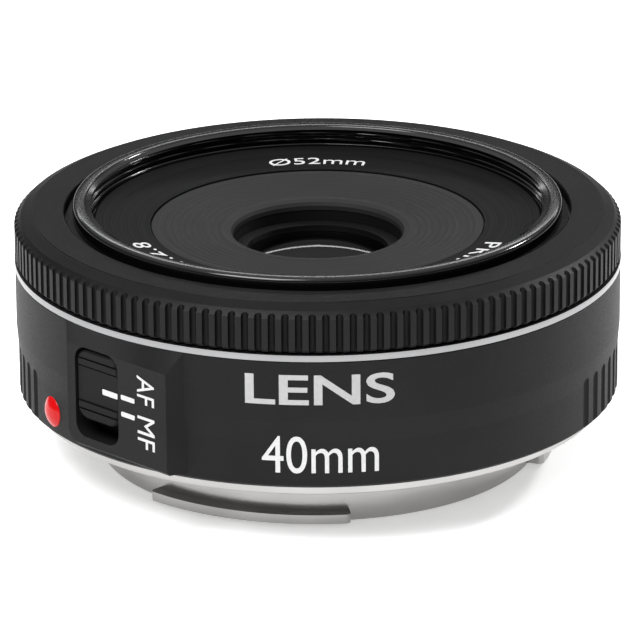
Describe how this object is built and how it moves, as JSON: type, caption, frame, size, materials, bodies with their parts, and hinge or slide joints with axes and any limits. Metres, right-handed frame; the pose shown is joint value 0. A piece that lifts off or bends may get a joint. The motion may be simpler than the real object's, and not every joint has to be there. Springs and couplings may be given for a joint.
{
  "type": "prime camera lens",
  "caption": "Thin prime lens with a bayonet mount: a ribbed focusing ring, a focus mode slide, a forward-moving optical unit and an iris diaphragm.",
  "frame": {"origin": "centre of the bayonet flange's seating face, on the optical axis", "axes": "+Z out of the front of the lens along the optical axis; -Y towards the side that carries the focal length marking; +X to the right of that marking"},
  "size_m": [0.0684, 0.0684, 0.0293],
  "materials": {
    "barrel_black": "fine-grained satin black",
    "ring_black": "matt black, ribbed",
    "silver_trim": "bright satin",
    "mount_steel": "turned satin steel",
    "screw_steel": "plated",
    "index_red": "glossy red",
    "switch_black": "matt black",
    "front_black": "semi-gloss black anodised",
    "name_black": "satin black",
    "baffle_black": "satin black with turned ridges",
    "cell_black": "matt black",
    "glass_coated": "coated optical glass",
    "cam_aluminium": "turned",
    "gear_nylon": "natural nylon",
    "board_green": "glass-fibre board",
    "chip_black": "moulded epoxy",
    "flex_amber": "polyimide film",
    "contact_gold": "gold plated",
    "motor_steel": "drawn steel can",
    "blade_black": "matt black film",
    "washer_felt": "felt",
    "marking_white": "white paint"
  },
  "bodies": {
    "barrel": {"lens_mount": "mount_steel", "mount_screws": "screw_steel", "outer_barrel": "barrel_black", "silver_trim_ring": "silver_trim", "index_dot": "index_red", "focus_sensor": "chip_black", "drag_washer": "washer_felt", "focus_keeper_ring": "screw_steel", "switch_base": "switch_black", "guide_barrel": "cell_black", "cam_snap_ring": "screw_steel", "focus_motor": "motor_steel", "motor_bracket": "screw_steel", "motor_screws": "screw_steel", "main_board": "board_green", "board_chips": "chip_black", "board_screws": "screw_steel", "main_flex": "flex_amber", "contact_block": "switch_black", "contact_pins": "contact_gold", "block_screws": "screw_steel", "rear_cover": "switch_black"},
    "focus_ring": {"focus_ring": "ring_black", "encoder_comb": "switch_black"},
    "mode_switch": {"focus_mode_knob": "switch_black", "switch_wiper": "contact_gold"},
    "optical_unit": {"front_barrel": "front_black", "follower_pins": "contact_gold", "name_ring": "name_black", "front_baffle": "baffle_black", "front_cell": "cell_black", "front_screws": "screw_steel", "front_retaining_ring": "cell_black", "front_element": "glass_coated", "second_element": "glass_coated", "third_element": "glass_coated", "fourth_element": "glass_coated", "fifth_element": "glass_coated", "rear_element": "glass_coated", "rear_cell": "cell_black", "rear_retaining_ring": "cell_black", "cell_screws": "screw_steel", "diaphragm_case": "cell_black", "diaphragm_cover": "cell_black", "aperture_motor": "motor_steel"},
    "cam": {"cam_ring": "cam_aluminium"},
    "idler": {"idler_gear": "gear_nylon"},
    "rotor": {"motor_pinion": "contact_gold"},
    "diaphragm_drive": {"diaphragm_ring": "gear_nylon"},
    "aperture_rotor": {"aperture_pinion": "contact_gold"},
    "blade_1": {"diaphragm_blade_1": "blade_black"},
    "blade_2": {"diaphragm_blade_2": "blade_black"},
    "blade_3": {"diaphragm_blade_3": "blade_black"},
    "blade_4": {"diaphragm_blade_4": "blade_black"},
    "blade_5": {"diaphragm_blade_5": "blade_black"},
    "blade_6": {"diaphragm_blade_6": "blade_black"},
    "blade_7": {"diaphragm_blade_7": "blade_black"}
  },
  "joints": [
    {"name": "focus_ring_turn", "type": "hinge", "parent": "barrel", "child": "focus_ring", "pos_m": [0, 0, 0.0195], "axis": [0, 0, 1], "continuous": true},
    {"name": "mode_switch_slide", "type": "slide", "parent": "barrel", "child": "mode_switch", "axis": [0, 0, -1], "range_m": [0, 0.0019]},
    {"name": "focus_travel", "type": "slide", "parent": "barrel", "child": "optical_unit", "axis": [0, 0, 1], "range_m": [0, 0.007]},
    {"name": "cam_turn", "type": "hinge", "parent": "barrel", "child": "cam", "pos_m": [0, 0, 0.008], "axis": [0, 0, 1], "range_deg": [0, 100.05]},
    {"name": "idler_turn", "type": "hinge", "parent": "barrel", "child": "idler", "pos_m": [0.01646, -0.01961, 0.0045], "axis": [0, 0, 1], "range_deg": [-967.5, 0]},
    {"name": "motor_turn", "type": "hinge", "parent": "barrel", "child": "rotor", "pos_m": [0.02111, -0.01778, 0.006], "axis": [0, 0, 1], "range_deg": [0, 2257]},
    {"name": "aperture_close", "type": "hinge", "parent": "optical_unit", "child": "diaphragm_drive", "pos_m": [0, 0, 0.0109], "axis": [0, 0, 1], "range_deg": [0, 20]},
    {"name": "aperture_motor_turn", "type": "hinge", "parent": "optical_unit", "child": "aperture_rotor", "pos_m": [0.01418, -0.0025, 0.011], "axis": [0, 0, 1], "range_deg": [-141, 0]},
    {"name": "blade_1_swing", "type": "hinge", "parent": "optical_unit", "child": "blade_1", "pos_m": [0, -0.0102, 0.0115], "axis": [0, 0, 1], "range_deg": [0, 28.1]},
    {"name": "blade_2_swing", "type": "hinge", "parent": "optical_unit", "child": "blade_2", "pos_m": [0.00797, -0.00636, 0.0115], "axis": [0, 0, 1], "range_deg": [0, 28.1]},
    {"name": "blade_3_swing", "type": "hinge", "parent": "optical_unit", "child": "blade_3", "pos_m": [0.00994, 0.00227, 0.0115], "axis": [0, 0, 1], "range_deg": [0, 28.1]},
    {"name": "blade_4_swing", "type": "hinge", "parent": "optical_unit", "child": "blade_4", "pos_m": [0.00443, 0.00919, 0.0115], "axis": [0, 0, 1], "range_deg": [0, 28.1]},
    {"name": "blade_5_swing", "type": "hinge", "parent": "optical_unit", "child": "blade_5", "pos_m": [-0.00443, 0.00919, 0.0115], "axis": [0, 0, 1], "range_deg": [0, 28.1]},
    {"name": "blade_6_swing", "type": "hinge", "parent": "optical_unit", "child": "blade_6", "pos_m": [-0.00994, 0.00227, 0.0115], "axis": [0, 0, 1], "range_deg": [0, 28.1]},
    {"name": "blade_7_swing", "type": "hinge", "parent": "optical_unit", "child": "blade_7", "pos_m": [-0.00797, -0.00636, 0.0115], "axis": [0, 0, 1], "range_deg": [0, 28.1]}
  ],
  "couplings": [
    {"joint": "cam_turn", "follows": "focus_travel", "rad_per_m": 249.33},
    {"joint": "idler_turn", "follows": "focus_travel", "rad_per_m": -2410.2},
    {"joint": "motor_turn", "follows": "focus_travel", "rad_per_m": 5623.8},
    {"joint": "aperture_motor_turn", "follows": "aperture_close", "ratio": -7},
    {"joint": "blade_1_swing", "follows": "aperture_close", "ratio": 1.4},
    {"joint": "blade_2_swing", "follows": "aperture_close", "ratio": 1.4},
    {"joint": "blade_3_swing", "follows": "aperture_close", "ratio": 1.4},
    {"joint": "blade_4_swing", "follows": "aperture_close", "ratio": 1.4},
    {"joint": "blade_5_swing", "follows": "aperture_close", "ratio": 1.4},
    {"joint": "blade_6_swing", "follows": "aperture_close", "ratio": 1.4},
    {"joint": "blade_7_swing", "follows": "aperture_close", "ratio": 1.4}
  ]
}
